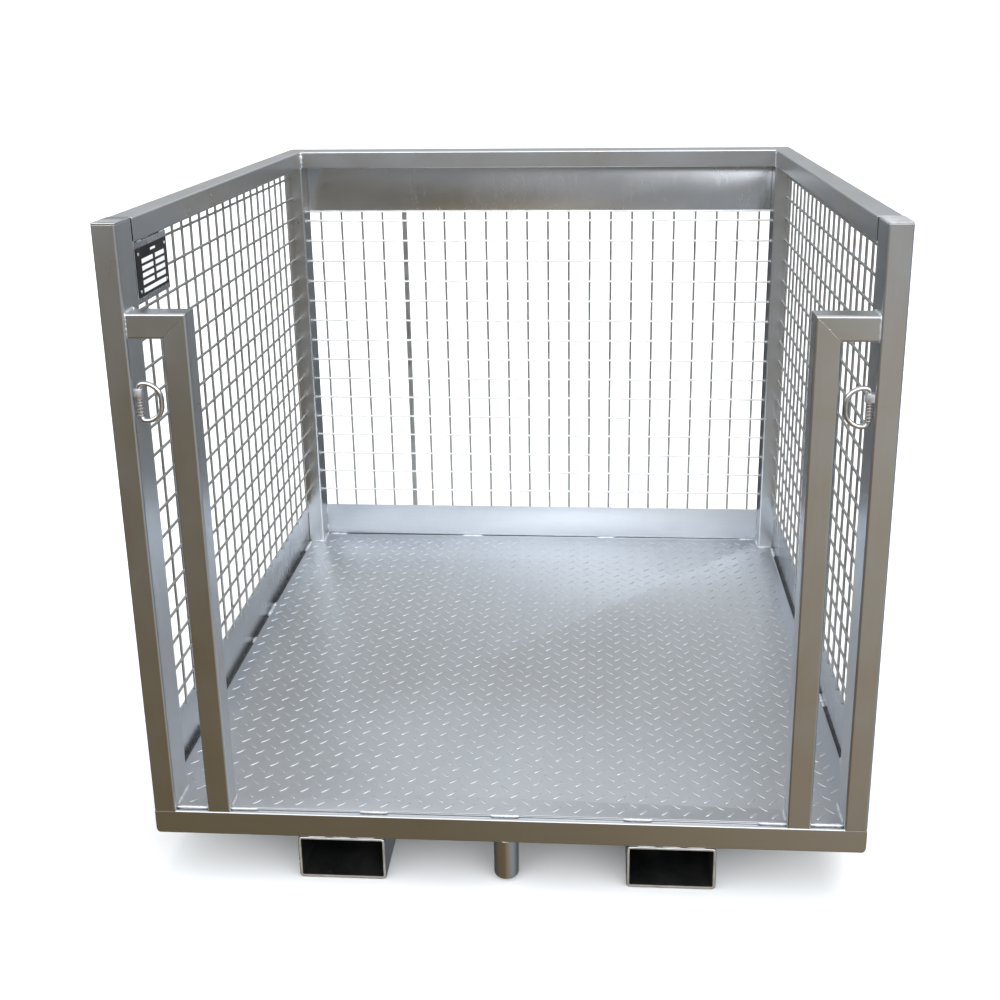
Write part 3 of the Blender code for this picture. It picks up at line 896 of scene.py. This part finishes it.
def post_foot_welds(bars):
    """Fillets round the foot of each post and guard, above the floor."""
    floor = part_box("floor_plate")[1].z + 0.0004
    for side, sign in SIDES:
        for node, open_y in ((f"front_{side}_post", 1), (f"rear_{side}_post", -1)):
            low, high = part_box(node)
            inner_x, outer_x = near_first(low, high, sign)
            inner_y, outer_y = (high.y, low.y) if open_y > 0 else (low.y, high.y)
            bead(bars, (inner_x, outer_y + open_y * 0.012, floor), (inner_x, inner_y, floor), 0.0040)
            bead(bars, (inner_x, inner_y, floor), (outer_x - sign * 0.010, inner_y, floor), 0.0040)
        low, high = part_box(f"{side}_guard_upright")
        for x in (low.x, high.x):
            bead(bars, (x, low.y + 0.012, floor), (x, high.y, floor), 0.0028)
        bead(bars, (low.x, high.y, floor), (high.x, high.y, floor), 0.0032)


def frame_welds():
    random.seed("frame welds")
    bars = Bars()
    post_foot_welds(bars)
    for side, sign in SIDES:
        rail_low, rail_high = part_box(f"{side}_top_rail")
        post_low, post_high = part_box(f"front_{side}_post")
        inner, outer = near_first(post_low, post_high, sign)
        joint = post_high.y
        bead(bars, (inner, joint, rail_low.z), (outer - sign * 0.004, joint, rail_low.z), 0.0026)
        top = rail_high.z - 0.0013
        bead(bars, (inner + sign * 0.003, joint, top), (outer - sign * 0.004, joint, top), 0.0011)
        cap_welds(bars, side)
        rear_corner_welds(bars, side, sign)
        guard_welds(bars, side, sign)
    plate_welds(bars)
    join_in(bars.piece("frame_welds", "weld"), "front_left_post")


def dressed_feet():
    """The welds ground flush where posts and guards stand on the front rail."""
    random.seed("dressed feet")
    rail_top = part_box("base_front_rail")[1].z
    strips = []
    for side, _ in SIDES:
        for node in (f"front_{side}_post", f"{side}_guard_upright"):
            low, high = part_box(node)
            front = low.y + 0.0003
            strips.append(((low.x + 0.0015, front, 0), (high.x - 0.0015, front, 0), (0, 0.006, 0),
                           rail_top + 0.0004, rail_top - 0.006, 0.0002))
    strip_piece("front_feet_dressing", "tube_x", strips, "base_front_rail")


def cap_welds(bars, side):
    """The dressed weld between a front post and its cap."""
    low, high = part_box(f"front_{side}_post_cap")
    for x in (low.x + 0.0017, high.x - 0.0017):
        bead(bars, (x, low.y + 0.004, low.z), (x, high.y - 0.004, low.z), 0.0014)
    for y in (low.y + 0.0018, high.y - 0.0018):
        bead(bars, (low.x + 0.003, y, low.z), (high.x - 0.003, y, low.z), 0.0015)


def rear_corner_welds(bars, side, sign):
    """Side rail to rear rail, and the rear post up to both of them."""
    low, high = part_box("rear_top_rail")
    end = low.x if sign < 0 else high.x
    size = 0.0042 if sign < 0 else 0.0018
    bead(bars, (end, low.y, low.z + 0.001), (end, low.y, high.z - 0.002), size, wobble=0.2)
    bead(bars, (end, low.y + 0.003, high.z - 0.0013), (end, high.y - 0.003, high.z - 0.0013), 0.0011)
    post_low, post_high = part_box(f"rear_{side}_post")
    inner, outer = near_first(post_low, post_high, sign)
    top = post_high.z
    bead(bars, (inner, post_low.y, top), (outer - sign * 0.002, post_low.y, top), 0.0020)
    bead(bars, (inner, post_low.y, top), (inner, post_high.y - 0.006, top), 0.0018)


def guard_welds(bars, side, sign):
    """Round the guard rail where it meets the post, and along its mitre."""
    low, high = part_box(f"{side}_guard_rail")
    tip_x, post_x = near_first(low, high, sign)
    corner_x = near_first(*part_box(f"{side}_guard_upright"), sign)[1]
    front, back = low.y + 0.0014, high.y
    bead(bars, (post_x, front, low.z), (post_x, front, high.z), 0.0021, wobble=0.14)
    bead(bars, (post_x, back, low.z), (post_x, back, high.z), 0.0024)
    for z, size in ((low.z, 0.0026), (high.z, 0.0036 if sign < 0 else 0.0026)):
        bead(bars, (post_x, front + 0.003, z), (post_x, back, z), size, wobble=0.2)
    top, bottom = (tip_x + sign * 0.002, high.z - 0.002), (corner_x, low.z)
    if sign > 0:
        y = front + 0.0004
        bead(bars, (top[0], y, top[1]), (bottom[0], y, bottom[1]), 0.0019, 0.0042, 0.22)
    bead(bars, (top[0], back, top[1]), (bottom[0], back, bottom[1]), 0.0020)
    bead(bars, (corner_x, front + 0.001, low.z), (corner_x, back, low.z), 0.0030)


def plate_welds(bars):
    """Short stitches that hold the kick and head plates to the posts and rails."""
    low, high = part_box("rear_head_plate")
    y = high.y + 0.0006
    for x in (-0.42, -0.21, 0.0, 0.21, 0.42):
        bead(bars, (x - 0.018, y, high.z), (x + 0.018, y, high.z), 0.0018)
    low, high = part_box("rear_kick_plate")
    for x in (low.x, high.x):
        for z in (low.z + 0.012, high.z - 0.026):
            bead(bars, (x, low.y, z), (x, low.y, z + 0.016), 0.0022)
    for side, sign in SIDES:
        low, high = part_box(f"{side}_kick_plate")
        x = kick_face(side, sign)
        for y in (low.y - 0.001, high.y + 0.001):
            bead(bars, (x, y, high.z - 0.020), (x, y, high.z - 0.004), 0.0024)


def base_welds():
    """Pockets, bearers and clamp post to the base rails."""
    random.seed("base welds")
    bars = Bars()
    pocket_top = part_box("fork_pocket_left")[1].z
    for side, _ in SIDES:
        low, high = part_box(f"fork_pocket_{side}")
        for rail in ("base_front_rail", "base_rear_rail"):
            rail_low, rail_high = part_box(rail)
            for x in (low.x + 0.004, high.x - 0.004):
                bead(bars, (x, rail_low.y + 0.004, pocket_top), (x, rail_high.y - 0.004, pocket_top), 0.0028)
            y, z = rail_high.y if rail == "base_front_rail" else rail_low.y, pocket_top + 0.0008
            bead(bars, (low.x + 0.012, y, z), (high.x - 0.012, y, z), 0.0030)
        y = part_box("base_front_rail")[0].y + 0.0030
        for x in (low.x + 0.018, (low.x + high.x) / 2 - 0.015, high.x - 0.048):
            bead(bars, (x, y, pocket_top), (x + 0.030, y, pocket_top), 0.0020)
        z = pocket_top + 0.0006
        for node in BEARERS:
            bearer_low, bearer_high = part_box(node)
            for y in (bearer_low.y, bearer_high.y):
                bead(bars, (low.x + 0.008, y, z), (high.x - 0.008, y, z), 0.0028)
    for node in BEARERS:
        low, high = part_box(node)
        for x in (low.x, high.x):
            for y in (low.y, high.y):
                bead(bars, (x, y, low.z + 0.004), (x, y, high.z - 0.002), 0.0026)
            bead(bars, (x, low.y, low.z), (x, high.y, low.z), 0.0026)
    post_low, post_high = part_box("clamp_post")
    centre, radius = (post_low + post_high) / 2, (post_high.x - post_low.x) / 2
    reach, steps = radius - 0.0001, 60
    ring, radii = [], []
    for i in range(steps + 1):
        angle = 2 * math.pi * i / steps
        ring.append(centre + Vector((reach * math.cos(angle), reach * math.sin(angle), 0)))
        ring[-1].z = post_high.z - 0.0004
        radii.append(0.0012 * (0.86 if i % 2 else 1.0))
    bars.add(ring, radii, 8)
    join_in(bars.piece("base_welds", "weld"), "base_front_rail")


def ledge(points, faces, start, end, width, top, bottom, wobble=0.0003):
    """A flat strip between two points, its top slightly uneven; width is a vector across it."""
    start, end, width = Vector(start), Vector(end), Vector(width)
    count = max(2, round((end - start).length / 0.012))
    base = len(points)
    for i in range(count + 1):
        here = start.lerp(end, i / count)
        level = top + shake(wobble)
        for place, z in ((here, bottom), (here, level), (here + width, level), (here + width, bottom)):
            points.append((place.x, place.y, z))
    for i in range(count):
        for k in range(4):
            a, b = base + 4 * i + k, base + 4 * i + (k + 1) % 4
            faces.append((a, b, b + 4, a + 4))
    faces.append((base, base + 3, base + 2, base + 1))
    last = base + 4 * count
    faces.append((last, last + 1, last + 2, last + 3))


def strip_piece(name, material, strips, partner="floor_plate"):
    """Ledges in one piece, with the named material, on the partner's body."""
    points, faces = [], []
    for strip in strips:
        ledge(points, faces, *strip)
    join_in(add_piece(name, new_mesh(name, points, faces, outward=True), material), partner)


SIDE_SLOT = 0.0060
SIDE_GROOVE, REAR_GROOVE = 0.534, 0.5595


def floor_grooves():
    """Painted shade: dark strips in the gaps along the floor's sides and back, narrowed by lips."""
    random.seed("grooves")
    low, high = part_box("floor_plate")
    rail_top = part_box("base_front_rail")[1].z + 0.0001
    painted_shade, lips = [], []
    for side, sign in SIDES:
        kick_x = kick_face(side, sign)
        edge_x = near_first(low, high, sign)[1]
        lip_width = max(0.0004, abs(kick_x - edge_x) - SIDE_SLOT)
        x = edge_x + sign * 0.0001
        lips.append(((x, -SIDE_GROOVE, 0), (x, SIDE_GROOVE, 0),
                     (sign * lip_width, 0, 0), high.z - 0.0004, rail_top, 0.0001))
        x = edge_x + sign * (lip_width + 0.0003)
        painted_shade.append(((x, -SIDE_GROOVE, 0), (x, SIDE_GROOVE, 0),
                     (kick_x - x - sign * 0.0002, 0, 0), high.z - 0.0010, rail_top))
    kick_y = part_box("rear_kick_plate")[0].y
    y = kick_y - 0.0003
    painted_shade.append(((-REAR_GROOVE, y, 0), (REAR_GROOVE, y, 0), (0, -0.0026, 0), high.z - 0.0014, rail_top))
    strip_piece("floor_groove_painted_shade", "painted_shade", painted_shade)
    y = high.y + 0.0001
    lips.append(((-REAR_GROOVE, y, 0), (REAR_GROOVE, y, 0),
                 (0, kick_y - 0.0031 - high.y, 0), high.z - 0.0004, rail_top, 0.0001))
    strip_piece("floor_edge_lips", "tread", lips)


# -------- lashing rings

RING_BAR = 0.004
RING_REACH = 0.0345
RING_HALF_HEIGHT = 0.030
LEG_CORNER, NOSE_CORNER = 0.008, 0.025


def ring_centreline():
    """Offsets (towards the nose, up) round the ring, evenly enough for a smooth bar."""
    top, nose = RING_HALF_HEIGHT, RING_REACH
    corners = (
        ((nose - NOSE_CORNER, NOSE_CORNER - top), NOSE_CORNER, -90, 12),
        ((nose - NOSE_CORNER, top - NOSE_CORNER), NOSE_CORNER, 0, 12),
        ((LEG_CORNER, top - LEG_CORNER), LEG_CORNER, 90, 8),
        ((LEG_CORNER, LEG_CORNER - top), LEG_CORNER, 180, 8),
    )
    points = []
    for (u, v), radius, start, steps in corners:
        for i in range(steps + 1):
            angle = math.radians(start + 90 * i / steps)
            points.append((u + radius * math.cos(angle), v + radius * math.sin(angle)))
    return points


def closed_bar(path, radius, sides):
    """A bar round a closed flat loop; its frame never twists because the loop is flat."""
    normal = (path[1] - path[0]).cross(path[10] - path[0]).normalized()
    rings = []
    for i, point in enumerate(path):
        tangent = (path[(i + 1) % len(path)] - path[i - 1]).normalized()
        rings.append(ring_at(point, radius, normal, normal.cross(tangent), sides))
    return rings


def build_rings():
    for side, sign in SIDES:
        node = f"{side}_lashing_ring"
        low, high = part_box(node)
        axis_x = low.x + RING_BAR if sign < 0 else high.x - RING_BAR
        axis_y = (low.y + high.y) / 2
        level = (low.z + high.z) / 2
        path = [Vector((axis_x - sign * u, axis_y, level + v)) for u, v in ring_centreline()]
        mesh = rings_to_mesh(f"{side}_ring_bar", closed_bar(path, RING_BAR, 16), closed=True)
        piece = add_piece(f"{side}_ring_bar", mesh, "ring")
        mesh.shade_smooth()
        stand_for(piece, node)
        bevelled_copy(f"{side}_ring_sleeve", "body", "weld", 0.0009, 3)
        build_spring(side, axis_x, axis_y)


def build_spring(side, axis_x, axis_y):
    """Six open turns, with a closed turn at each end."""
    low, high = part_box(f"{side}_ring_spring")
    wire, coil = 0.00085, (high.x - low.x) / 2 - 0.0008
    coils, steps = 7, 20
    path = []
    for i in range(coils * steps + 1):
        t = i / (coils * steps)
        rise = min(1.0, max(0.0, (t - 0.10) / 0.80))
        angle = 2 * math.pi * coils * t
        height = low.z + wire + (high.z - low.z - 2 * wire) * (0.05 * t + 0.95 * rise)
        path.append(Vector((axis_x + coil * math.cos(angle), axis_y + coil * math.sin(angle), height)))
    bars = Bars()
    bars.add(path, [wire] * len(path), 8, start_frame=Vector((0, 0, 1)))
    stand_for(bars.piece(f"{side}_ring_coil", "spring"), f"{side}_ring_spring")


# -------- data plate

def label_seam():
    """Closes the gap between the backing and the side rail: shadow first, then a weld."""
    random.seed("label seam")
    low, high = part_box("label_backing")
    rail_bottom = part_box("left_top_rail")[0].z
    x, thickness = low.x + 0.0004, high.x - low.x - 0.0008
    weld_from = high.y - 0.42 * (high.y - low.y) * 0.5
    strip = ((x, low.y + 0.002, 0), (x, weld_from, 0), (thickness, 0, 0),
             rail_bottom - 0.0001, high.z - 0.0004)
    strip_piece("label_seam_shadow", "painted_shade", [strip], "label_backing")
    bars = Bars()
    x, z = high.x - 0.0006, (high.z + rail_bottom) / 2
    bead(bars, (x, weld_from, z), (x, high.y - 0.003, z), 0.0018)
    bead(bars, (x, low.y + 0.014, z), (x, low.y + 0.032, z), 0.0016)
    join_in(bars.piece("label_seam_weld", "weld"), "label_backing")


def build_label():
    bevelled_copy("label_backing", "sheet", "plate")
    label_seam()
    bevelled_copy("label_plate", "sheet", "enamel", 0.0003)
    low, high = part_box("label_plate")
    face = high.x
    length, height = high.y - low.y, high.z - low.z
    shape = bmesh.new()

    def field(y_share, z_share, width_share, height_share):
        """A blank, placed by shares of the plate from its front top corner."""
        width, tall = width_share * length, height_share * height
        centre = (face, low.y + y_share * length + width / 2, high.z - z_share * height - tall / 2)
        made = bmesh.ops.create_cube(shape, size=1.0, matrix=Matrix.Translation(centre))
        bmesh.ops.scale(shape, vec=(0.0004, width, tall), space=Matrix.Translation(-Vector(centre)),
                        verts=made["verts"])

    field(0.46, 0.09, 0.16, 0.05)
    for row in range(4):
        top = 0.24 + row * 0.148
        field(0.16, top, 0.36, 0.092)
        field(0.60, top, 0.30, 0.092)
    field(0.16, 0.845, 0.74, 0.090)
    mesh = bpy.data.meshes.new("label_fields")
    shape.to_mesh(mesh)
    shape.free()
    piece = add_piece("label_fields", mesh, "field")
    edges = piece.modifiers.new("soft_edges", "BEVEL")
    edges.width = 0.0001
    edges.segments = 2
    join_in(piece, "label_plate")
    for number in range(1, 5):
        build_rivet(f"label_rivet_{number}")


def build_rivet(node):
    """A low dome with a small dimple where the mandrel broke off."""
    low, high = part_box(node)
    centre = (low + high) / 2
    radius, height = (high.y - low.y) / 2, high.x - low.x
    profile = [(1.0, 0.0), (0.98, 0.35), (0.86, 0.66), (0.66, 0.88),
               (0.42, 0.98), (0.34, 0.92), (0.22, 0.70), (0.04, 0.66)]
    rings = [[(low.x + lift * height, centre.y + share * radius * math.cos(a),
               centre.z + share * radius * math.sin(a)) for a in turns(24)] for share, lift in profile]
    mesh = rings_to_mesh(node + "_head", rings, closed=False)
    piece = add_piece(node + "_head", mesh, "rivet")
    smooth(piece, 60)
    stand_for(piece, node)


# -------- build


make_camera()
make_lights()
make_world()
make_stage()
bpy.context.scene.view_settings.view_transform = "Standard"
build_tubes()
build_clamp_post()
build_plates()
build_tread()
build_mesh()
floor_stitches()
frame_welds()
dressed_feet()
base_welds()
floor_grooves()
build_rings()
build_label()
